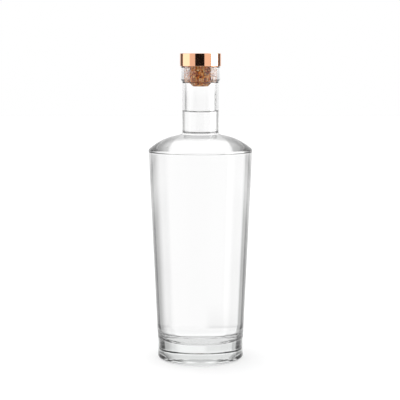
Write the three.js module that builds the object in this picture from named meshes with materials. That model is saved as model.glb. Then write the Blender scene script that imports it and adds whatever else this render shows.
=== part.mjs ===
// A liquor bottle: one clear glass bottle with a thick base and a straight neck, its clear
// liquid, and a T-shaped stopper made of an agglomerated cork shank, a moulded head and a
// rose-gold metal cap over the head.
//
// Millimetres, +Z up. The origin is on the bottle's axis, on the surface that it stands on.

import * as THREE from "three";

// Outside of the glass, from the table up.
const BASE_DIAMETER = 75.2;
const BASE_HEIGHT = 18.6;
const WAIST_DEPTH = 0.7;
const WAIST_HEIGHT = 9;
const HEEL_FLARE = 0.6;
const HEEL_ROUND = 1.6;
const SHOULDER_DIAMETER = 89.9;
const SHOULDER_HEIGHT = 182.8;
const SHOULDER_ROUND = 2.5;
const DOME_HEIGHT = 13.2;
const DOME_BULGE = 2.3;
const NECK_ROOT_FILLET = 3;
const NECK_LENGTH = 45;
const LIP_HEIGHT = 13.1;
const LIP_SLOPE_HEIGHT = 1.8;
const LIP_FILLET = 1.5;
const LIP_PROJECTION = 1.25;
const LIP_ROUND = 1.3;

// Inside of the glass. The bore holds the cork, and the neck is wider below it.
const BORE_DIAMETER = 18.5;
const BORE_LENGTH = 13.1;
const BORE_WALL = 6.4;
const BORE_STEP_HEIGHT = 0.8;
const BORE_STEP_ROUND = 0.6;
const NECK_WALL = 3.35;
const MOUTH_ROUND = 0.8;
const THROAT_DEPTH = 4.6;
const THROAT_ROUND = 7;
const CORNER_WALL = 1.4;
const INNER_DOME_BULGE = 1.6;
const BODY_WALL = 4.1;
const BASE_THICKNESS = 16;
const FLOOR_RISE = 1.2;
const FLOOR_FILLET = 9;

// Underside of the glass: a shallow push-up inside a flat ring that the bottle stands on.
const RING_WIDTH = 4.9;
const PUSH_UP_HEIGHT = 2.6;

// The liquid's surface lies this far below the top of the lip.
const FILL_DROP = 39.4;
const FILL_CLEARANCE = 0.1;

// The stopper.
const CORK_LENGTH = 17.2;
const CORK_CHAMFER = 2.8;
const CORK_BELOW_SPIGOT = 7.2;
const CORK_CLEARANCE = 0.1;
const CAP_HEIGHT = 10.9;
const CAP_OVERHANG = 0.8;
const CAP_WALL = 0.8;
const CAP_CHAMFER = 0.35;
const HEAD_CLEARANCE = 0.1;
const SPIGOT_DIAMETER = 8;
const SPIGOT_CLEARANCE = 0.1;

// How finely the turned shapes are divided.
const TURN_SEGMENTS = 64;
const SMALL_CORNER_STEPS = 2;
const CORNER_STEPS = 4;
const DOME_STEPS = 6;
const PUSH_UP_STEPS = 3;

// Radii and heights that follow from the dimensions above.
const boreRadius = BORE_DIAMETER / 2;
const neckRadius = boreRadius + BORE_WALL;
const neckBoreRadius = neckRadius - NECK_WALL;
const lipRadius = neckRadius + LIP_PROJECTION;
const baseRadius = BASE_DIAMETER / 2;
const waistRadius = baseRadius - WAIST_DEPTH;
const heelRadius = waistRadius + HEEL_FLARE;
const pushUpRadius = heelRadius - HEEL_ROUND - RING_WIDTH;
const shoulderRadius = SHOULDER_DIAMETER / 2;
const neckRootHeight = SHOULDER_HEIGHT + DOME_HEIGHT;
const lipUndersideHeight = neckRootHeight + NECK_LENGTH;
const lipTopHeight = lipUndersideHeight + LIP_HEIGHT;
const boreFootHeight = lipTopHeight - BORE_LENGTH;
const fillHeight = lipTopHeight - FILL_DROP;
const capRadius = lipRadius + CAP_OVERHANG;
const capTopHeight = lipTopHeight + CAP_HEIGHT;
const spigotRadius = SPIGOT_DIAMETER / 2;
const spigotFootHeight = lipTopHeight - CORK_LENGTH + CORK_BELOW_SPIGOT;
const domeMiddle = DOME_STEPS / 2;

/** A point of an outline: its distance from the axis and its height. */
function at(radius, height) {
  return new THREE.Vector2(radius, height);
}

/** The points of a circular arc from start to end that stands off its chord by bulge. */
function bulgedEdge(start, end, bulge, steps) {
  const chord = end.clone().sub(start);
  const side = new THREE.Vector2(chord.y, -chord.x).normalize();
  const halfChord = chord.length() / 2;
  const arcRadius = (halfChord ** 2 + bulge ** 2) / (2 * bulge);
  const centre = start.clone().add(end).multiplyScalar(0.5);
  centre.addScaledVector(side, bulge - arcRadius);
  const sweep = 2 * Math.asin(halfChord / arcRadius);
  const points = [];
  for (let step = 0; step <= steps; step += 1) {
    points.push(start.clone().rotateAround(centre, (sweep * step) / steps));
  }
  return points;
}

/**
 * The points of the arc that rounds a corner between two straight edges. Each edge gives up
 * at most 0.45 of its length, so a large radius stays within short edges.
 */
function roundedCorner(before, corner, after, radius, steps) {
  const edgeShare = 0.45;
  const back = before.clone().sub(corner);
  const ahead = after.clone().sub(corner);
  const longest = edgeShare * Math.min(back.length(), ahead.length());
  back.normalize();
  ahead.normalize();
  const halfAngle = Math.acos(THREE.MathUtils.clamp(back.dot(ahead), -1, 1)) / 2;
  const reach = Math.min(radius / Math.tan(halfAngle), longest);
  const start = corner.clone().addScaledVector(back, reach);
  const middle = back.clone().add(ahead).normalize();
  const centre = corner.clone().addScaledVector(middle, reach / Math.cos(halfAngle));
  const sweep = -Math.sign(back.cross(ahead)) * (Math.PI - 2 * halfAngle);
  const points = [];
  for (let step = 0; step <= steps; step += 1) {
    points.push(start.clone().rotateAround(centre, (sweep * step) / steps));
  }
  return points;
}

/** The push-up under the base, a shallow dome from its middle out to the resting ring. */
function pushUp() {
  const points = [];
  for (let step = 0; step <= PUSH_UP_STEPS; step += 1) {
    const share = step / PUSH_UP_STEPS;
    points.push(at(pushUpRadius * share, PUSH_UP_HEIGHT * (1 - share ** 2)));
  }
  return points;
}

/** A closed solid, turned about the Z axis from an outline that starts and ends on the axis. */
function turned(name, outline, material) {
  const geometry = new THREE.LatheGeometry(outline, TURN_SEGMENTS);
  geometry.rotateX(Math.PI / 2);
  const mesh = new THREE.Mesh(geometry, material);
  mesh.name = name;
  return mesh;
}

/** The outside of the glass, from the middle of the push-up to the edge of the mouth. */
function outsideOfGlass() {
  const underside = pushUp();
  const heel = at(heelRadius, 0);
  const waist = at(waistRadius, WAIST_HEIGHT);
  const bodyFoot = at(baseRadius, BASE_HEIGHT);
  const shoulder = at(shoulderRadius, SHOULDER_HEIGHT);
  const neckRoot = at(neckRadius, neckRootHeight);
  const underLip = at(neckRadius, lipUndersideHeight);
  const lipLow = at(lipRadius, lipUndersideHeight + LIP_SLOPE_HEIGHT);
  const lipHigh = at(lipRadius, lipTopHeight);
  const mouth = at(boreRadius, lipTopHeight);
  const boreFoot = at(boreRadius, boreFootHeight);
  const dome = bulgedEdge(shoulder, neckRoot, DOME_BULGE, DOME_STEPS);
  return [
    ...underside,
    ...roundedCorner(underside.at(-1), heel, waist, HEEL_ROUND, CORNER_STEPS),
    waist,
    bodyFoot,
    ...roundedCorner(bodyFoot, shoulder, dome[1], SHOULDER_ROUND, CORNER_STEPS),
    ...dome.slice(1, -2),
    ...roundedCorner(dome.at(-3), neckRoot, underLip, NECK_ROOT_FILLET, CORNER_STEPS),
    ...roundedCorner(neckRoot, underLip, lipLow, LIP_FILLET, SMALL_CORNER_STEPS),
    ...roundedCorner(underLip, lipLow, lipHigh, LIP_FILLET, SMALL_CORNER_STEPS),
    ...roundedCorner(lipLow, lipHigh, mouth, LIP_ROUND, SMALL_CORNER_STEPS),
    ...roundedCorner(lipHigh, mouth, boreFoot, MOUTH_ROUND, SMALL_CORNER_STEPS),
  ];
}

/** The step from the cork's bore out to the wider neck. */
function boreStep() {
  const mouth = at(boreRadius, lipTopHeight);
  const boreFoot = at(boreRadius, boreFootHeight);
  const stepFoot = at(neckBoreRadius, boreFootHeight - BORE_STEP_HEIGHT);
  const throat = at(neckBoreRadius, neckRootHeight);
  return [
    ...roundedCorner(mouth, boreFoot, stepFoot, BORE_STEP_ROUND, SMALL_CORNER_STEPS),
    ...roundedCorner(boreFoot, stepFoot, throat, BORE_STEP_ROUND, SMALL_CORNER_STEPS),
  ];
}

/** The hollow below its neck, from the throat to the middle of the floor, moved in by inset. */
function hollow(inset) {
  const neck = at(neckBoreRadius - inset, fillHeight);
  const throat = at(neckBoreRadius - inset, neckRootHeight - THROAT_DEPTH - inset);
  const shoulder = at(shoulderRadius - BODY_WALL - inset, SHOULDER_HEIGHT - CORNER_WALL - inset);
  const floorEdge = at(baseRadius - BODY_WALL - inset, BASE_THICKNESS + inset);
  const floorMiddle = at(0, BASE_THICKNESS + FLOOR_RISE + inset);
  const dome = bulgedEdge(shoulder, throat, INNER_DOME_BULGE, DOME_STEPS).reverse();
  return [
    ...roundedCorner(neck, throat, dome[domeMiddle], THROAT_ROUND, CORNER_STEPS),
    ...dome.slice(domeMiddle, -1),
    ...roundedCorner(dome.at(-2), shoulder, floorEdge, SHOULDER_ROUND, CORNER_STEPS),
    ...roundedCorner(shoulder, floorEdge, floorMiddle, FLOOR_FILLET, CORNER_STEPS),
    floorMiddle,
  ];
}

function glassBottle() {
  const glass = new THREE.MeshStandardMaterial({
    color: 0xeef2f2,
    roughness: 0.05,
    metalness: 0,
    transparent: true,
    opacity: 0.35,
  });
  return turned("glass_bottle", [...outsideOfGlass(), ...boreStep(), ...hollow(0)], glass);
}

/** The liquid fills the hollow up to its level in the neck. */
function spiritFill() {
  const liquid = new THREE.MeshStandardMaterial({
    color: 0xf7fafa,
    roughness: 0.02,
    metalness: 0,
    transparent: true,
    opacity: 0.2,
  });
  const surface = [at(0, fillHeight), at(neckBoreRadius - FILL_CLEARANCE, fillHeight)];
  return turned("spirit_fill", [...surface, ...hollow(FILL_CLEARANCE)].reverse(), liquid);
}

/** The cork shank, with a chamfered foot and a blind hole in its top for the head's spigot. */
function corkShank() {
  const cork = new THREE.MeshStandardMaterial({ color: 0xb9824f, roughness: 0.9, metalness: 0 });
  const radius = boreRadius - CORK_CLEARANCE;
  const foot = lipTopHeight - CORK_LENGTH;
  const holeRadius = spigotRadius + SPIGOT_CLEARANCE;
  const holeFoot = spigotFootHeight - SPIGOT_CLEARANCE;
  const outline = [
    at(0, foot),
    at(radius - CORK_CHAMFER, foot),
    at(radius, foot + CORK_CHAMFER),
    at(radius, lipTopHeight),
    at(holeRadius, lipTopHeight),
    at(holeRadius, holeFoot),
    at(0, holeFoot),
  ];
  return turned("cork_shank", outline, cork);
}

/** The moulded head: a disc that rests on the lip, with a spigot that is glued into the cork. */
function stopperHead() {
  const plastic = new THREE.MeshStandardMaterial({ color: 0x2a2624, roughness: 0.55, metalness: 0 });
  const radius = capRadius - CAP_WALL - HEAD_CLEARANCE;
  const top = capTopHeight - CAP_WALL;
  const outline = [
    at(0, spigotFootHeight),
    at(spigotRadius, spigotFootHeight),
    at(spigotRadius, lipTopHeight),
    at(radius, lipTopHeight),
    at(radius, top),
    at(0, top),
  ];
  return turned("stopper_head", outline, plastic);
}

/** The rose-gold shell, drawn from sheet, that is pressed over the head. */
function capShell() {
  const metal = new THREE.MeshStandardMaterial({ color: 0xd99a7c, roughness: 0.12, metalness: 1 });
  const innerRadius = capRadius - CAP_WALL;
  const innerTop = capTopHeight - CAP_WALL;
  const outline = [
    at(0, innerTop),
    at(innerRadius, innerTop),
    at(innerRadius, lipTopHeight),
    at(capRadius, lipTopHeight),
    at(capRadius, capTopHeight - CAP_CHAMFER),
    at(capRadius - CAP_CHAMFER, capTopHeight),
    at(0, capTopHeight),
  ];
  return turned("cap_shell", outline, metal);
}

const bottle = new THREE.Group();
bottle.name = "bottle";
bottle.add(glassBottle(), spiritFill());

const stopper = new THREE.Group();
stopper.name = "stopper";
stopper.add(corkShank(), stopperHead(), capShell());

const liquorBottle = new THREE.Group();
liquorBottle.add(bottle, stopper);

export default liquorBottle;
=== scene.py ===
# %% [markdown]
# # A liquor bottle in clear glass
# A bottle like this has five pieces: the glass, the liquid, and a stopper made of a cork
# shank, a moulded head and a metal cap. The frame below holds their real sizes. This script
# gives each piece its fine shape and its finish, and sets up a plain studio round them.
# Lengths are written in millimetres and turned to metres when a mesh is made.

# %% Load the frame
import math

import bpy
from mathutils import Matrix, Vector, noise


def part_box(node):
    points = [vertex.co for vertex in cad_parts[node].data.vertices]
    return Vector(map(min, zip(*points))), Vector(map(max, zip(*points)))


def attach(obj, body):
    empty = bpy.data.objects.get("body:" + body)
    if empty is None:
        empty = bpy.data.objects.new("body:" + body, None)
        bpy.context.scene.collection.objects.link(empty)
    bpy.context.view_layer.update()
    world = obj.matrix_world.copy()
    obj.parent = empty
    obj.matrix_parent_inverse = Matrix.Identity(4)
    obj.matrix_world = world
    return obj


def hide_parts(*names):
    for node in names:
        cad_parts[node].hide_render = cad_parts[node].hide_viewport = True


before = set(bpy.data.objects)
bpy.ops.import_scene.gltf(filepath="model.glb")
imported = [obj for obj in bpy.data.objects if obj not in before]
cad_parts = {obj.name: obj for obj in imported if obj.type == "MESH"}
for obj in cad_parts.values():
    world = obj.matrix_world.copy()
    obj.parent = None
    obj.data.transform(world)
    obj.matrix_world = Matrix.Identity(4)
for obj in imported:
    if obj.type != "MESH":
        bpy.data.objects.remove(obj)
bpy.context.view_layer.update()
MM = 0.001


# %% Read the main places from the frame
def foot_of(node):
    """The lowest height of a CAD node, in millimetres."""
    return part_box(node)[0][2] / MM


def top_of(node):
    """The greatest height of a CAD node, in millimetres."""
    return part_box(node)[1][2] / MM


def radius_of(node):
    """The outer radius of a CAD node about the bottle's axis, in millimetres."""
    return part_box(node)[1][0] / MM


lip_top = top_of("glass_bottle")
fill_level = top_of("spirit_fill")
cork_foot = foot_of("cork_shank")
cap_top = top_of("cap_shell")
cap_radius = radius_of("cap_shell")
spigot_foot = foot_of("stopper_head")
head_radius = radius_of("stopper_head")
head_top = top_of("stopper_head")
print("lip", lip_top, "fill", fill_level, "cork foot", cork_foot, "cap", cap_radius, cap_top)

# %% [markdown]
# ## The camera
# The photograph looks at the bottle from about four bottle heights away, with the lens level
# with the cap and tipped down a little. The ellipse of the base gives the distance, and the
# cap, seen edge on, gives the height. A long lens keeps the sides of the body almost straight.

# %% Place the camera
IMAGE_WIDTH = 400
FOCAL_PIXELS = 1181
SENSOR_MM = 36
CAMERA_HEIGHT = 263.6
CAMERA_DISTANCE = 1019.7
CAMERA_ASIDE = -0.4
CAMERA_TILT = math.radians(7)

camera_data = bpy.data.cameras.new("photograph_view")
camera_data.sensor_width = SENSOR_MM
camera_data.lens = FOCAL_PIXELS * SENSOR_MM / IMAGE_WIDTH
camera = bpy.data.objects.new("photograph_view", camera_data)
camera.location = Vector((CAMERA_ASIDE, -CAMERA_DISTANCE, CAMERA_HEIGHT)) * MM
camera.rotation_euler = (math.pi / 2 - CAMERA_TILT, 0, 0)
bpy.context.scene.collection.objects.link(camera)
bpy.context.scene.camera = camera
bpy.context.scene.view_settings.view_transform = "Standard"
print("lens in mm:", round(camera_data.lens, 1))


# %% [markdown]
# ## Helpers for nodes and colours
# One function adds a node with its settings and its links, so that a material reads from top
# to bottom like a recipe. Colours are written as sRGB hex values, the way a colour picker
# shows them, and turned to the linear values that the shaders work in.

# %% Colour and node helpers
def linear(hex_colour):
    """An sRGB hex colour, such as "c08a5a", as linear red, green, blue and full alpha."""
    channels = [int(hex_colour[start:start + 2], 16) / 255 for start in (0, 2, 4)]
    curve = [c / 12.92 if c <= 0.04045 else ((c + 0.055) / 1.055) ** 2.4 for c in channels]
    return (*curve, 1.0)


def add_node(tree, kind, settings=None, links=None):
    """Adds a node, sets its properties and input values, and links outputs into it."""
    node = tree.nodes.new(kind)
    for key, value in (settings or {}).items():
        if isinstance(key, int) or key in node.inputs:
            node.inputs[key].default_value = value
        else:
            setattr(node, key, value)
    for key, source in (links or {}).items():
        tree.links.new(source, node.inputs[key])
    return node


def set_stops(ramp_node, stops):
    """Gives a colour ramp the stops (place from 0 to 1, colour)."""
    elements = ramp_node.color_ramp.elements
    while len(elements) > 1:
        elements.remove(elements[-1])
    elements[0].position, elements[0].color = stops[0]
    for place, colour in stops[1:]:
        elements.new(place).color = colour


def new_material(name):
    """An empty material with its tree and its Principled shader, linked to the output."""
    material = bpy.data.materials.new(name)
    material.use_nodes = True
    tree = material.node_tree
    tree.nodes.clear()
    shader = add_node(tree, "ShaderNodeBsdfPrincipled")
    add_node(tree, "ShaderNodeOutputMaterial", links={"Surface": shader.outputs["BSDF"]})
    return material, tree, shader


print("a middle grey, linear:", [round(c, 3) for c in linear("808080")[:3]])

# %% [markdown]
# ## The studio
# Clear glass has almost no look of its own: it shows what stands behind it and beside it. A
# photographer lights it with a white backdrop and lets the surroundings go darker to each
# side, so that the edges of the glass draw themselves as grey lines. Here a grey card and a
# black one stand on each side of the backdrop, and more cards stand low down. A tall soft box
# at each side, and the dark space round the camera, give the metal cap its stripes.
#
# A ray that has passed through the glass looks up the backdrop and its cards. Near the horizon
# the cards are partly taken away, so that the edges of the neck stay pale. A ray that bounced
# off a surface looks up the soft boxes. The camera itself sees plain white. From another side
# the same cards show in other places, as they would in a real studio.

# %% Brightness of the studio, by direction
# Each stop is (degrees round the bottle from straight behind it, positive to the right, level).
BACKDROP_LEVELS = [
    (-180, 1.0), (-150, 1.0), (-144, 0.5), (-126, 0.3), (-119, 0.9), (-76, 0.9), (-72, 0.15),
    (-46, 0.15), (-45, 0.5), (-38, 0.5), (-37, 0.9), (-24, 0.9), (-20, 1.0), (20, 1.0), (24, 0.9),
    (30, 0.9), (41, 0.45), (46, 0.45), (47, 0.1), (68, 0.1), (80, 1.0), (119, 0.9), (126, 0.3),
    (144, 0.5), (150, 1.0), (180, 1.0),
]
SOFT_BOX_LEVELS = [
    (-180, 0.012), (-151, 0.012), (-149, 0.9), (-118.5, 0.9), (-116, 1.7), (-66, 1.7), (-64, 0.16),
    (-36, 0.16), (-30, 1.0), (30, 1.0), (40, 0.14), (66, 0.14), (68, 5.0), (116.5, 5.0),
    (117.5, 0.62), (121, 0.62), (123, 1.0), (156.5, 1.0), (158.5, 0.012), (180, 0.012),
]

# The same for heights: each stop is (degrees above the horizon, level). A share says how much
# of the soft boxes, of open white or of a set of cards there is at that height.
BACKDROP_BY_HEIGHT = [
    (-90, 0.9), (-64, 0.9), (-54, 0.6), (-40, 0.6), (-34, 1.1), (-24, 1.1), (-20, 1.0), (-2, 1.0),
    (-1, 1.1), (4, 1.1), (8, 0.8), (90, 0.8),
]
SOFT_BOX_SHARE = [
    (-90, 0.0), (-60, 0.0), (-50, 0.22), (-7, 0.22), (-4.5, 1.0), (50, 1.0), (60, 0.0), (90, 0.0),
]
OPEN_SHARE = [
    (-90, 0.0), (-4.5, 0.0), (-4, 0.4), (-3, 0.4), (-2.5, 0.1), (-2, 0.1), (-1, 0.8), (4, 0.8),
    (8, 0.1), (20, 0.0), (90, 0.0),
]

# Black and grey cards low down draw the edges of the base and the arcs of the shoulder.
BASE_CARDS = [
    (-180, 1.0), (-42, 1.0), (-38, 0.8), (-7, 0.8), (-3, 1.0), (24, 1.0), (28, 0.8), (38, 0.8),
    (42, 1.0), (180, 1.0),
]
BASE_SHARE = [(-90, 0.0), (-14.5, 0.0), (-14, 0.8), (-12, 0.8), (-10, 0.0), (90, 0.0)]
OUTER_CARDS = [
    (-180, 1.0), (-62, 1.0), (-60, 0.0), (-50, 0.0), (-48, 1.0), (48, 1.0), (50, 0.0), (60, 0.0),
    (62, 1.0), (180, 1.0),
]
OUTER_SHARE = [(-90, 0.0), (-20, 0.0), (-17, 1.0), (-10, 1.0), (-9, 0.0), (90, 0.0)]
SHOULDER_CARDS = [
    (-180, 1.0), (-76, 1.0), (-70, 0.4), (-36, 0.4), (-24, 0.6), (-22, 1.0), (22, 1.0), (24, 0.7),
    (36, 0.5), (70, 0.5), (76, 1.0), (180, 1.0),
]
SHOULDER_SHARE = [(-90, 0.0), (-60, 0.0), (-52, 1.0), (-27, 1.0), (-22, 0.0), (90, 0.0)]
CARDS = [(BASE_CARDS, BASE_SHARE), (OUTER_CARDS, OUTER_SHARE), (SHOULDER_CARDS, SHOULDER_SHARE)]
print("backdrop stops:", len(BACKDROP_LEVELS), "soft box stops:", len(SOFT_BOX_LEVELS))


# %% Build the world
def grey(level):
    """A grey of this level, as red, green, blue and alpha."""
    return (level, level, level, 1.0)


def level_by(tree, angle, stops, half_range):
    """Looks up a brightness from stops in degrees, for an angle output in radians."""
    span = math.radians(half_range)
    settings = {"From Min": -span, "From Max": span}
    share = add_node(tree, "ShaderNodeMapRange", settings, {"Value": angle})
    ramp = add_node(tree, "ShaderNodeValToRGB", links={"Fac": share.outputs["Result"]})
    places = [(degrees + half_range) / (2 * half_range) for degrees, level in stops]
    greys = [grey(level) for degrees, level in stops]
    set_stops(ramp, list(zip(places, greys)))
    return ramp.outputs["Color"]


def blend(tree, factor, low, high):
    """Low where factor is 0, high where it is 1. Each may be an output or a number."""
    node = add_node(tree, "ShaderNodeMix", {"data_type": "FLOAT"}, {0: factor})
    for socket, value in ((2, low), (3, high)):
        if isinstance(value, (int, float)):
            node.inputs[socket].default_value = value
        else:
            tree.links.new(value, node.inputs[socket])
    return node.outputs[0]


def times(tree, one, other):
    """The product of two brightness outputs."""
    product = add_node(tree, "ShaderNodeMath", {"operation": "MULTIPLY"}, {0: one, 1: other})
    return product.outputs[0]


WORLD_LIGHT = 1.15
PLAIN_REFLECTION = 0.9
world = bpy.data.worlds.new("white_studio")
world.use_nodes = True
sky = world.node_tree
sky.nodes.clear()
place = add_node(sky, "ShaderNodeTexCoord")
axes = add_node(sky, "ShaderNodeSeparateXYZ", links={0: place.outputs["Generated"]})
round_angle = add_node(
    sky, "ShaderNodeMath", {"operation": "ARCTAN2"}, {0: axes.outputs["X"], 1: axes.outputs["Y"]}
)
up_angle = add_node(sky, "ShaderNodeMath", {"operation": "ARCSINE"}, {0: axes.outputs["Z"]})
backdrop = level_by(sky, round_angle.outputs[0], BACKDROP_LEVELS, 180)
open_share = level_by(sky, up_angle.outputs[0], OPEN_SHARE, 90)
backdrop = blend(sky, open_share, backdrop, 1.0)
behind = times(sky, backdrop, level_by(sky, up_angle.outputs[0], BACKDROP_BY_HEIGHT, 90))
for card_levels, card_share in CARDS:
    cards = level_by(sky, round_angle.outputs[0], card_levels, 180)
    share = level_by(sky, up_angle.outputs[0], card_share, 90)
    behind = times(sky, behind, blend(sky, share, 1.0, cards))
boxes = level_by(sky, round_angle.outputs[0], SOFT_BOX_LEVELS, 180)
box_share = level_by(sky, up_angle.outputs[0], SOFT_BOX_SHARE, 90)
mirrored = blend(sky, box_share, PLAIN_REFLECTION, boxes)
ray = add_node(sky, "ShaderNodeLightPath")
level = blend(sky, ray.outputs["Is Glossy Ray"], WORLD_LIGHT, mirrored)
level = blend(sky, ray.outputs["Is Transmission Ray"], level, behind)
level = blend(sky, ray.outputs["Diffuse Depth"], level, WORLD_LIGHT)
level = blend(sky, ray.outputs["Is Camera Ray"], level, 1.0)
background = add_node(sky, "ShaderNodeBackground", links={"Strength": level})
background.inputs["Color"].default_value = grey(1.0)
add_node(sky, "ShaderNodeOutputWorld", links={"Surface": background.outputs[0]})
bpy.context.scene.world = world
print("world nodes:", len(sky.nodes))

# %% Floor and lamp
FLOOR_HALF = 4.0
FLOOR_GLOW = 0.3
SUN_STRENGTH = 0.5
SUN_SPREAD = math.radians(50)
SUN_TILT = math.radians(-18)
SUN_ROLL = math.radians(-14)

floor_mesh = bpy.data.meshes.new("studio_floor")
corners = [(-FLOOR_HALF, -FLOOR_HALF, 0), (FLOOR_HALF, -FLOOR_HALF, 0),
           (FLOOR_HALF, FLOOR_HALF, 0), (-FLOOR_HALF, FLOOR_HALF, 0)]
floor_mesh.from_pydata(corners, [], [(0, 1, 2, 3)])
floor = bpy.data.objects.new("studio_floor", floor_mesh)
bpy.context.scene.collection.objects.link(floor)
floor.visible_transmission = False
floor.visible_glossy = False

paper, paper_tree, paper_shader = new_material("white_sweep_paper")
paper_shader.inputs["Base Color"].default_value = linear("d2d2d2")
paper_shader.inputs["Roughness"].default_value = 0.9
paper_ray = add_node(paper_tree, "ShaderNodeLightPath")
glow = blend(paper_tree, paper_ray.outputs["Is Camera Ray"], 0.0, FLOOR_GLOW)
paper_shader.inputs["Emission Color"].default_value = grey(1.0)
paper_tree.links.new(glow, paper_shader.inputs["Emission Strength"])
floor_mesh.materials.append(paper)

sun_data = bpy.data.lights.new("overhead_soft_light", "SUN")
sun_data.energy = SUN_STRENGTH
sun_data.angle = SUN_SPREAD
sun = bpy.data.objects.new("overhead_soft_light", sun_data)
sun.rotation_euler = (SUN_TILT, SUN_ROLL, 0)
sun.visible_glossy = False
sun.visible_transmission = False
bpy.context.scene.collection.objects.link(sun)
print("floor glow:", FLOOR_GLOW, "lamp:", SUN_STRENGTH)


# %% [markdown]
# ## Turned shapes
# Every piece of this bottle is round, so each one is an outline that is turned about the
# axis. An outline is a list of points (radius, height). Straight edges meet in rounded
# corners, because glass and rolled metal have no sharp ones, and it is the small roundings
# that catch the light. Long edges get extra points, so that the shading stays true to the
# surface right up to each corner.

# %% Outline helpers
def rounded_corner(before, corner, after, radius, steps=8):
    """The arc that rounds the corner between two straight edges."""
    edge_share = 0.45
    corner = Vector(corner)
    back = Vector(before) - corner
    ahead = Vector(after) - corner
    longest = edge_share * min(back.length, ahead.length)
    back.normalize()
    ahead.normalize()
    half_angle = math.acos(max(-1, min(1, back.dot(ahead)))) / 2
    reach = min(radius / math.tan(half_angle), longest)
    start = corner + back * reach
    centre = corner + (back + ahead).normalized() * (reach / math.cos(half_angle))
    turn = math.copysign(math.pi - 2 * half_angle, -(back.x * ahead.y - back.y * ahead.x))
    arm = start - centre
    return [tuple(centre + turned_by(arm, turn * step / steps)) for step in range(steps + 1)]


def turned_by(arm, angle):
    """A flat vector turned by an angle."""
    cosine = math.cos(angle)
    sine = math.sin(angle)
    return Vector((arm.x * cosine - arm.y * sine, arm.x * sine + arm.y * cosine))


def bulged_edge(start, end, bulge, steps):
    """The arc from start to end that stands off its chord by bulge."""
    start = Vector(start)
    end = Vector(end)
    chord = end - start
    side = Vector((chord.y, -chord.x)).normalized()
    half_chord = chord.length / 2
    arc_radius = (half_chord ** 2 + bulge ** 2) / (2 * bulge)
    centre = (start + end) / 2 + side * (bulge - arc_radius)
    sweep = 2 * math.asin(half_chord / arc_radius)
    arm = start - centre
    return [tuple(centre + turned_by(arm, sweep * step / steps)) for step in range(steps + 1)]


def with_support(outline, spacing, margin=0.12):
    """The outline with points along its long edges, and one close to each end of them."""
    result = [outline[0]]
    for start, end in zip(outline, outline[1:]):
        start = Vector(start)
        step = Vector(end) - start
        length = step.length
        if length > 6 * margin:
            count = max(1, round(length / spacing))
            shares = [margin / length, *[k / count for k in range(1, count)], 1 - margin / length]
            result += [tuple(start + step * share) for share in shares]
        result.append(tuple(end))
    return result


print("corner test:", rounded_corner((0, 0), (10, 0), (10, 10), 2, 2))


# %% Turn an outline into a mesh
def turn(name, bands, materials, segments=192, shift=None):
    """
    Turns bands of outline points about the axis and returns the object. Bands follow on from
    each other, and each one is (points, material number). The first and last points of the
    whole outline lie on the axis. shift moves each finished point, in millimetres.
    """
    points = []
    slots = []
    for band, slot in bands:
        fresh = band[1:] if points else band
        slots += [slot] * (len(band) - 1)
        points += fresh
    ends = (0, len(points) - 1)
    vertices = []
    rings = []
    for number, (radius, height) in enumerate(points):
        count = 1 if number in ends else segments
        rings.append(range(len(vertices), len(vertices) + count))
        for k in range(count):
            angle = 2 * math.pi * k / segments
            point = Vector((radius * math.cos(angle), radius * math.sin(angle), height))
            vertices.append((shift(point) if shift else point) * MM)
    faces = []
    numbers = []
    for lower, upper, slot in zip(rings, rings[1:], slots):
        for k in range(segments):
            here = [lower[k % len(lower)], lower[(k + 1) % len(lower)]]
            there = [upper[(k + 1) % len(upper)], upper[k % len(upper)]]
            corners = list(dict.fromkeys(here + there))
            faces.append(corners)
            numbers.append(slot)
    mesh = bpy.data.meshes.new(name)
    mesh.from_pydata(vertices, [], faces)
    for material in materials:
        mesh.materials.append(material)
    mesh.polygons.foreach_set("material_index", numbers)
    mesh.shade_smooth()
    mesh.update()
    piece = bpy.data.objects.new(name, mesh)
    bpy.context.scene.collection.objects.link(piece)
    print(name, "faces:", len(mesh.polygons))
    return piece


# %% [markdown]
# ## Flint glass
# The bottle is soda-lime flint glass, the clear kind: molten glass is blown into an iron
# mould and then fire-polished, which leaves a smooth skin with very shallow ripples. Its
# refractive index is about 1.52. Where liquid wets the inside, light only bends by the ratio
# of the two indices, so the wet wall is almost invisible, just as in a real full bottle. For
# this the inside has two materials: dry glass above the liquid, wet glass below.
#
# The glass is nearly colourless. Iron in the sand gives a faint green-grey tint that only
# shows where it is thick, in the base, so the tint is keyed to the height.

# %% Glass materials
GLASS_INDEX = 1.52
SPIRIT_INDEX = 1.36
RIPPLE_MM = 14
RIPPLE_DEPTH_MM = 0.006
TINT_TOP = 22
TINT_FOOT = 12


def flint_glass(name, index, thin_colour, thick_colour):
    """Clear mould-blown glass, tinted a little more where the base is thick."""
    material, tree, shader = new_material(name)
    shader.inputs["IOR"].default_value = index
    shader.inputs["Transmission Weight"].default_value = 1.0
    shader.inputs["Roughness"].default_value = 0.0
    where = add_node(tree, "ShaderNodeTexCoord")
    axes = add_node(tree, "ShaderNodeSeparateXYZ", links={0: where.outputs["Object"]})
    settings = {"From Min": TINT_TOP * MM, "From Max": TINT_FOOT * MM}
    depth = add_node(tree, "ShaderNodeMapRange", settings, {"Value": axes.outputs["Z"]})
    tint = add_node(tree, "ShaderNodeValToRGB", links={"Fac": depth.outputs["Result"]})
    set_stops(tint, [(0.0, linear(thin_colour)), (1.0, linear(thick_colour))])
    tree.links.new(tint.outputs["Color"], shader.inputs["Base Color"])
    ripple = add_node(
        tree, "ShaderNodeTexNoise", {"Scale": 1000 / RIPPLE_MM, "Detail": 1.0},
        {"Vector": where.outputs["Object"]},
    )
    bump = add_node(
        tree, "ShaderNodeBump", {"Distance": RIPPLE_DEPTH_MM * MM}, {"Height": ripple.outputs["Fac"]}
    )
    tree.links.new(bump.outputs["Normal"], shader.inputs["Normal"])
    return material


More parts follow.
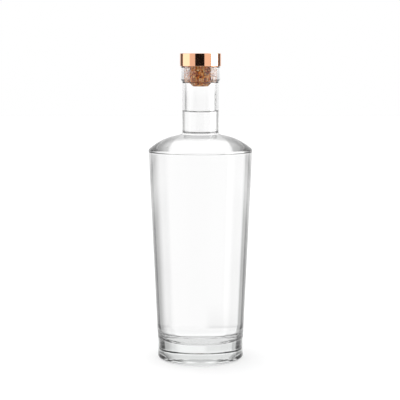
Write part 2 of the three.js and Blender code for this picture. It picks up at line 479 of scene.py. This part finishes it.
dry_glass = flint_glass("flint_glass_fire_polished", GLASS_INDEX, "fefefe", "f4f6f5")
wet_glass = flint_glass("flint_glass_wetted", GLASS_INDEX / SPIRIT_INDEX, "fefefe", "fafbfb")
print("wet glass index:", round(GLASS_INDEX / SPIRIT_INDEX, 3))

# %% [markdown]
# ## The glass bottle
# The outline starts in the middle of the push-up under the base and runs round the outside,
# over the lip and down the inside to the middle of the floor. The numbers are the frame's own
# design sizes. The inner wall of a blown bottle is never quite even, so it wanders by a tenth
# of a millimetre or so. That small error is what makes real glass lines waver.

# %% Sizes of the glass
BASE_RADIUS = 37.6
BASE_HEIGHT = 18.6
WAIST_RADIUS = 36.9
WAIST_HEIGHT = 9
HEEL_RADIUS = 37.5
HEEL_ROUND = 1.6
RING_INNER_RADIUS = 31
PUSH_UP_HEIGHT = 2.6
SHOULDER_RADIUS = 44.95
SHOULDER_HEIGHT = 182.8
SHOULDER_ROUND = 2.5
DOME_BULGE = 2.3
NECK_RADIUS = 15.65
NECK_ROOT_HEIGHT = 196.0
NECK_ROOT_FILLET = 3
LIP_RADIUS = 16.9
LIP_UNDERSIDE = 241
LIP_SLOPE_HEIGHT = 1.8
LIP_FILLET = 1.5
LIP_ROUND = 1.3
BORE_RADIUS = 9.25
BORE_FOOT = 241.0
BORE_STEP_HEIGHT = 0.8
BORE_STEP_ROUND = 0.6
NECK_WALL = 3.35
MOUTH_ROUND = 0.8
THROAT_HEIGHT = 191.4
THROAT_ROUND = 7
CORNER_WALL = 1.4
INNER_BULGE = 1.6
BODY_WALL = 4.1
neck_bore = NECK_RADIUS - NECK_WALL
BASE_THICKNESS = 16
FLOOR_RISE = 1.2
FLOOR_FILLET = 9
MENISCUS_CLIMB = 1.5
WALL_WANDER = 0.12
WANDER_LENGTH = 26
WANDER_STRETCH = 2.5
WANDER_TOP = NECK_ROOT_HEIGHT - 8
WANDER_TOP_FADE = 12
WANDER_FOOT = 18
WANDER_FOOT_FADE = 14


def wall_shift(point):
    """Moves a point of the inner wall in or out a little, and leaves the bore alone."""
    fade_above = min(1, max(0, (WANDER_TOP - point.z) / WANDER_TOP_FADE))
    fade_below = min(1, max(0, (point.z - WANDER_FOOT) / WANDER_FOOT_FADE))
    fade = fade_above * fade_below
    flat = Vector((point.x, point.y, 0))
    if flat.length < neck_bore or fade == 0:
        return point
    drift = noise.noise(Vector((point.x, point.y, point.z / WANDER_STRETCH)) / WANDER_LENGTH)
    return point + flat.normalized() * (drift * WALL_WANDER * fade)


print("inner wall at the shoulder:", SHOULDER_RADIUS - BODY_WALL, "mm")


# %% Outlines of the glass
PUSH_UP_STEPS = 8
WAIST_FILLET = 60
FOOT_FILLET = 40
DOME_STEPS = 24
SHOULDER_TRIM = 5
NECK_TRIM = 8
CORNER_TRIM = 5
INNER_STEPS = 12
FLOOR_STEPS = 16


def outside_outline():
    """From the middle of the push-up to the edge of the mouth."""
    push_up = []
    for step in range(PUSH_UP_STEPS + 1):
        share = step / PUSH_UP_STEPS
        push_up.append((RING_INNER_RADIUS * share, PUSH_UP_HEIGHT * (1 - share ** 2)))
    heel = (HEEL_RADIUS, 0)
    waist = (WAIST_RADIUS, WAIST_HEIGHT)
    body_foot = (BASE_RADIUS, BASE_HEIGHT)
    shoulder = (SHOULDER_RADIUS, SHOULDER_HEIGHT)
    neck_root = (NECK_RADIUS, NECK_ROOT_HEIGHT)
    under_lip = (NECK_RADIUS, LIP_UNDERSIDE)
    lip_low = (LIP_RADIUS, LIP_UNDERSIDE + LIP_SLOPE_HEIGHT)
    lip_high = (LIP_RADIUS, lip_top)
    mouth = (BORE_RADIUS, lip_top)
    dome = bulged_edge(shoulder, neck_root, DOME_BULGE, DOME_STEPS)
    return [
        *push_up,
        *rounded_corner(push_up[-1], heel, waist, HEEL_ROUND),
        *rounded_corner(heel, waist, body_foot, WAIST_FILLET),
        *rounded_corner(waist, body_foot, shoulder, FOOT_FILLET),
        *rounded_corner(body_foot, shoulder, dome[SHOULDER_TRIM - 1], SHOULDER_ROUND),
        *dome[SHOULDER_TRIM:-NECK_TRIM],
        *rounded_corner(dome[-NECK_TRIM - 1], neck_root, under_lip, NECK_ROOT_FILLET),
        *rounded_corner(neck_root, under_lip, lip_low, LIP_FILLET),
        *rounded_corner(under_lip, lip_low, lip_high, LIP_FILLET),
        *rounded_corner(lip_low, lip_high, mouth, LIP_ROUND),
        *rounded_corner(lip_high, mouth, (BORE_RADIUS, fill_level), MOUTH_ROUND),
    ]


def hollow_outline(inset):
    """From the throat to the middle of the floor, moved in from the wall by inset."""
    neck = (neck_bore - inset, fill_level)
    throat = (neck_bore - inset, THROAT_HEIGHT - inset)
    shoulder = (SHOULDER_RADIUS - BODY_WALL - inset, SHOULDER_HEIGHT - CORNER_WALL - inset)
    floor_edge = (BASE_RADIUS - BODY_WALL - inset, BASE_THICKNESS + inset)
    floor_middle = (0, BASE_THICKNESS + FLOOR_RISE + inset)
    dome = bulged_edge(shoulder, throat, INNER_BULGE, DOME_STEPS)[::-1]
    return [
        *rounded_corner(neck, throat, dome[NECK_TRIM], THROAT_ROUND, INNER_STEPS),
        *dome[NECK_TRIM:1 - CORNER_TRIM],
        *rounded_corner(dome[-CORNER_TRIM], shoulder, floor_edge, SHOULDER_ROUND, INNER_STEPS),
        *rounded_corner(shoulder, floor_edge, floor_middle, FLOOR_FILLET, FLOOR_STEPS),
        floor_middle,
    ]


contact_height = fill_level + MENISCUS_CLIMB
bore_foot = (BORE_RADIUS, BORE_FOOT)
step_foot = (neck_bore, BORE_FOOT - BORE_STEP_HEIGHT)
contact = (neck_bore, contact_height)
dry_outline = [
    *outside_outline(),
    *rounded_corner((BORE_RADIUS, lip_top), bore_foot, step_foot, BORE_STEP_ROUND),
    *rounded_corner(bore_foot, step_foot, contact, BORE_STEP_ROUND),
    contact,
]
wet_outline = [contact, *hollow_outline(0)]
print("outline points:", len(dry_outline), len(wet_outline))

# %% Make the glass
WALL_POINT_SPACING = 5


def glass_shift(point):
    """The inner wall wanders, and the outside, formed by the mould, does not."""
    outer = Vector((point.x, point.y)).length
    rise = (point.z - BASE_HEIGHT) / (SHOULDER_HEIGHT - BASE_HEIGHT)
    inner_limit = BASE_RADIUS - BODY_WALL / 2
    inner_limit += rise * (SHOULDER_RADIUS - BASE_RADIUS)
    return wall_shift(point) if outer < inner_limit else point


glass_bands = [
    (with_support(dry_outline, WALL_POINT_SPACING), 0),
    (with_support(wet_outline, WALL_POINT_SPACING), 1),
]
glass = turn("blown_glass_bottle", glass_bands, [dry_glass, wet_glass], shift=glass_shift)
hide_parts("glass_bottle")
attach(glass, "bottle")

# %% [markdown]
# ## The spirit
# The liquid is clear, with a refractive index of about 1.36 for spirit at bottling strength.
# It wets the glass, so its surface climbs the wall of the neck in a meniscus about as high as
# water's capillary length, 1.5 to 2 mm. Its free surface bends light. Its sides lie against
# wetted glass, which already bends the light for both, so they let it pass straight on.

# %% Spirit materials
def clear_spirit(name, index):
    """A clear colourless liquid whose surface bends light by this index."""
    material, tree, shader = new_material(name)
    shader.inputs["Base Color"].default_value = linear("ffffff")
    shader.inputs["IOR"].default_value = index
    shader.inputs["Transmission Weight"].default_value = 1.0
    shader.inputs["Roughness"].default_value = 0.0
    return material


spirit_surface = clear_spirit("clear_spirit_surface", SPIRIT_INDEX)
spirit_side = clear_spirit("clear_spirit_against_glass", 1.0)
print("spirit surface index:", SPIRIT_INDEX)

# %% Make the spirit
SPIRIT_INSET = 0.02
CAPILLARY_LENGTH = 1.7
spirit_radius = neck_bore - SPIRIT_INSET


def meniscus(steps=24):
    """The free surface from the middle of the neck to the wall."""
    points = []
    for step in range(steps + 1):
        radius = spirit_radius * (1 - (1 - step / steps) ** 2)
        climb = MENISCUS_CLIMB * math.exp((radius - spirit_radius) / CAPILLARY_LENGTH)
        points.append((radius, fill_level + climb))
    return points


spirit_wall = [(spirit_radius, contact_height), *hollow_outline(SPIRIT_INSET)]
spirit_bands = [(meniscus(), 0), (with_support(spirit_wall, WALL_POINT_SPACING), 1)]
spirit_bands = [(band[::-1], slot) for band, slot in reversed(spirit_bands)]
spirit = turn("clear_spirit", spirit_bands, [spirit_surface, spirit_side], shift=wall_shift)
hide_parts("spirit_fill")
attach(spirit, "bottle")

# %% [markdown]
# ## Agglomerated cork
# The shank is ground from a rod of cork granules, about 1 mm across, glued under pressure. The
# eye sees a mosaic of light and dark browns with darker lines between the granules and small
# pits; their dark brown is painted shade of these gaps and pits. Seen through the thick lip,
# the cork looks wet and dark where it presses on the glass and pale where a film of air stays
# between them, so its skin is modelled with that fine relief.

# %% Cork material
GRANULE_MM = 0.9
GRANULE_WARP_MM = 0.7
WARP_LENGTH_MM = 1.0
PIT_MM = 0.5
PIT_LEVELS = (0.3, 0.4)
GAP_SHADE_WIDTH_SHARE = 0.05
SKIN_DEPTH_MM = 0.15


def cork_material():
    """Ground granules in many browns, with painted shade in the gaps and small pits between them."""
    material, tree, shader = new_material("agglomerated_cork_ground")
    shader.inputs["Roughness"].default_value = 0.85
    where = add_node(tree, "ShaderNodeTexCoord").outputs["Object"]
    warp = add_node(
        tree, "ShaderNodeTexNoise", {"Scale": 1000 / WARP_LENGTH_MM, "Detail": 2.0}, {"Vector": where}
    )
    shift = add_node(
        tree, "ShaderNodeVectorMath", {"operation": "SCALE", "Scale": GRANULE_WARP_MM * MM},
        {0: warp.outputs["Color"]},
    )
    moved = add_node(
        tree, "ShaderNodeVectorMath", {"operation": "ADD"}, {0: where, 1: shift.outputs[0]}
    )
    granules = add_node(
        tree, "ShaderNodeTexVoronoi", {"Scale": 1000 / GRANULE_MM}, {"Vector": moved.outputs[0]}
    )
    one_value = add_node(tree, "ShaderNodeSeparateColor", links={0: granules.outputs["Color"]})
    browns = add_node(tree, "ShaderNodeValToRGB", links={"Fac": one_value.outputs[0]})
    stops = [(0.0, "4e1904"), (0.25, "ac4a0a"), (0.5, "f88222"), (0.8, "ffb454"), (1.0, "ffe2ac")]
    set_stops(browns, [(place, linear(colour)) for place, colour in stops])
    edges = add_node(
        tree, "ShaderNodeTexVoronoi", {"Scale": 1000 / GRANULE_MM, "feature": "DISTANCE_TO_EDGE"},
        {"Vector": moved.outputs[0]},
    )
    # Thin lines between the granules, darkened below as painted shade of these gaps.
    gap_shade = add_node(
        tree, "ShaderNodeMapRange", {"From Max": GAP_SHADE_WIDTH_SHARE}, {"Value": edges.outputs["Distance"]}
    )
    pits = add_node(
        tree, "ShaderNodeTexNoise", {"Scale": 1000 / PIT_MM, "Detail": 3.0}, {"Vector": where}
    )
    pit_range = {"From Min": PIT_LEVELS[0], "From Max": PIT_LEVELS[1]}
    hole = add_node(tree, "ShaderNodeMapRange", pit_range, {"Value": pits.outputs["Fac"]})
    open_skin = add_node(
        tree, "ShaderNodeMath", {"operation": "MULTIPLY"}, {0: gap_shade.outputs[0], 1: hole.outputs[0]}
    )
    # Gaps and pits take the dark brown 6e2e0c, which is painted shade; the granules keep their browns.
    colour = add_node(
        tree, "ShaderNodeMix", {"data_type": "RGBA"}, {0: open_skin.outputs[0], 7: browns.outputs[0]}
    )
    colour.inputs[6].default_value = linear("6e2e0c")
    tree.links.new(colour.outputs[2], shader.inputs["Base Color"])
    bump = add_node(
        tree, "ShaderNodeBump", {"Distance": SKIN_DEPTH_MM * MM}, {"Height": open_skin.outputs[0]}
    )
    tree.links.new(bump.outputs["Normal"], shader.inputs["Normal"])
    return material


cork_finish = cork_material()
print("cork granules:", GRANULE_MM, "mm")

# %% Make the cork
CORK_CHAMFER = 2.8
CORK_EDGE_ROUND = 0.5
CORK_RELIEF = 0.12
CORK_RELIEF_MM = 0.35
FINE_RELIEF_SHARE = 0.6
FINE_RELIEF_RATIO = 0.45
CORK_SINK = 0.008
CORK_SEGMENTS = 320
CORK_POINT_SPACING = 0.2
SPIGOT_RADIUS = 4
SPIGOT_CLEARANCE = 0.1
cork_radius = BORE_RADIUS + CORK_SINK


def cork_shift(point):
    """Pushes the skin in and out by up to 0.15 mm, so that it presses into the glass in spots."""
    flat = Vector((point.x, point.y, 0))
    if flat.length < cork_radius - CORK_CHAMFER:
        return point
    coarse = noise.noise(point / CORK_RELIEF_MM)
    fine = noise.noise(point / (CORK_RELIEF_MM * FINE_RELIEF_RATIO))
    relief = coarse + FINE_RELIEF_SHARE * fine
    return point + flat.normalized() * (relief * CORK_RELIEF)


hole_foot = spigot_foot - SPIGOT_CLEARANCE
hole_radius = SPIGOT_RADIUS + SPIGOT_CLEARANCE
foot_edge = (cork_radius - CORK_CHAMFER, cork_foot)
side_foot = (cork_radius, cork_foot + CORK_CHAMFER)
side_top = (cork_radius, lip_top)
cork_outline = [
    (0, cork_foot),
    *rounded_corner((0, cork_foot), foot_edge, side_foot, CORK_EDGE_ROUND, 4),
    *rounded_corner(foot_edge, side_foot, side_top, CORK_EDGE_ROUND * 2, 4),
    side_top,
    (hole_radius, lip_top),
    (hole_radius, hole_foot),
    (0, hole_foot),
]
cork_bands = [(with_support(cork_outline, CORK_POINT_SPACING), 0)]
cork = turn("agglomerated_cork_shank", cork_bands, [cork_finish], CORK_SEGMENTS, cork_shift)
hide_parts("cork_shank")
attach(cork, "stopper")

# %% [markdown]
# ## The moulded head
# The head is injection moulded in dark brown polypropylene. It fills the metal shell, rests
# on the lip, and its spigot is glued into the cork. Only the ring under the cap can ever be
# seen, so it gets a soft satin skin and small mould radii.

# %% Head material and mesh
HEAD_ROUND = 0.3
SATIN_MM = 0.4
HEAD_SEGMENTS = 128
STOPPER_POINT_SPACING = 3
head_finish, head_tree, head_shader = new_material("moulded_polypropylene_satin")
head_shader.inputs["Base Color"].default_value = linear("3a2c24")
head_shader.inputs["IOR"].default_value = 1.49
head_place = add_node(head_tree, "ShaderNodeTexCoord").outputs["Object"]
satin = add_node(
    head_tree, "ShaderNodeTexNoise", {"Scale": 1000 / SATIN_MM, "Detail": 2.0}, {"Vector": head_place}
)
satin_range = add_node(
    head_tree, "ShaderNodeMapRange", {"To Min": 0.4, "To Max": 0.55}, {"Value": satin.outputs["Fac"]}
)
head_tree.links.new(satin_range.outputs[0], head_shader.inputs["Roughness"])

under = (head_radius, lip_top)
upper = (head_radius, head_top)
spigot_tip = (SPIGOT_RADIUS, spigot_foot)
head_outline = [
    (0, spigot_foot),
    *rounded_corner((0, spigot_foot), spigot_tip, (SPIGOT_RADIUS, lip_top), HEAD_ROUND, 3),
    (SPIGOT_RADIUS, lip_top),
    *rounded_corner((SPIGOT_RADIUS, lip_top), under, upper, HEAD_ROUND, 3),
    *rounded_corner(under, upper, (0, head_top), HEAD_ROUND, 3),
    (0, head_top),
]
head_bands = [(with_support(head_outline, STOPPER_POINT_SPACING), 0)]
head = turn("moulded_stopper_head", head_bands, [head_finish], HEAD_SEGMENTS)
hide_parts("stopper_head")
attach(head, "stopper")

# %% [markdown]
# ## The rose-gold cap
# The cap is drawn from thin aluminium sheet, polished, and anodised to a rose-gold colour. A
# polished metal shows no colour of its own but the studio, tinted: cream and white from the
# soft boxes, orange from the white walls, and black from the dark space round the camera.
# Its roughness is low and varies a little, as a polished and handled surface does.

# %% Cap material
ROSE_GOLD = "f9bc97"
POLISH_MM = 3.0


def rose_gold_material():
    """Polished, anodised aluminium, with a polish that varies a little."""
    material, tree, shader = new_material("anodised_aluminium_rose_gold_polished")
    shader.inputs["Base Color"].default_value = linear(ROSE_GOLD)
    shader.inputs["Metallic"].default_value = 1.0
    where = add_node(tree, "ShaderNodeTexCoord").outputs["Object"]
    smear = add_node(
        tree, "ShaderNodeTexNoise", {"Scale": 1000 / POLISH_MM, "Detail": 3.0}, {"Vector": where}
    )
    rough = add_node(
        tree, "ShaderNodeMapRange", {"To Min": 0.05, "To Max": 0.11}, {"Value": smear.outputs["Fac"]}
    )
    tree.links.new(rough.outputs[0], shader.inputs["Roughness"])
    return material


rose_gold = rose_gold_material()
print("cap colour, linear:", [round(c, 3) for c in linear(ROSE_GOLD)[:3]])

# %% Make the cap
CAP_WALL = 0.8
CAP_EDGE_ROUND = 0.4
inner_radius = cap_radius - CAP_WALL
inner_top = cap_top - CAP_WALL
inside_corner = (inner_radius, inner_top)
inside_foot = (inner_radius, lip_top)
outside_foot = (cap_radius, lip_top)
outside_corner = (cap_radius, cap_top)
cap_outline = [
    (0, inner_top),
    inside_corner,
    *rounded_corner(inside_corner, inside_foot, outside_foot, CAP_EDGE_ROUND / 2, 4),
    *rounded_corner(inside_foot, outside_foot, outside_corner, CAP_EDGE_ROUND / 2, 4),
    *rounded_corner(outside_foot, outside_corner, (0, cap_top), CAP_EDGE_ROUND),
    (0, cap_top),
]
cap_bands = [(with_support(cap_outline, STOPPER_POINT_SPACING), 0)]
cap = turn("rose_gold_cap_shell", cap_bands, [rose_gold])
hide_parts("cap_shell")
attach(cap, "stopper")
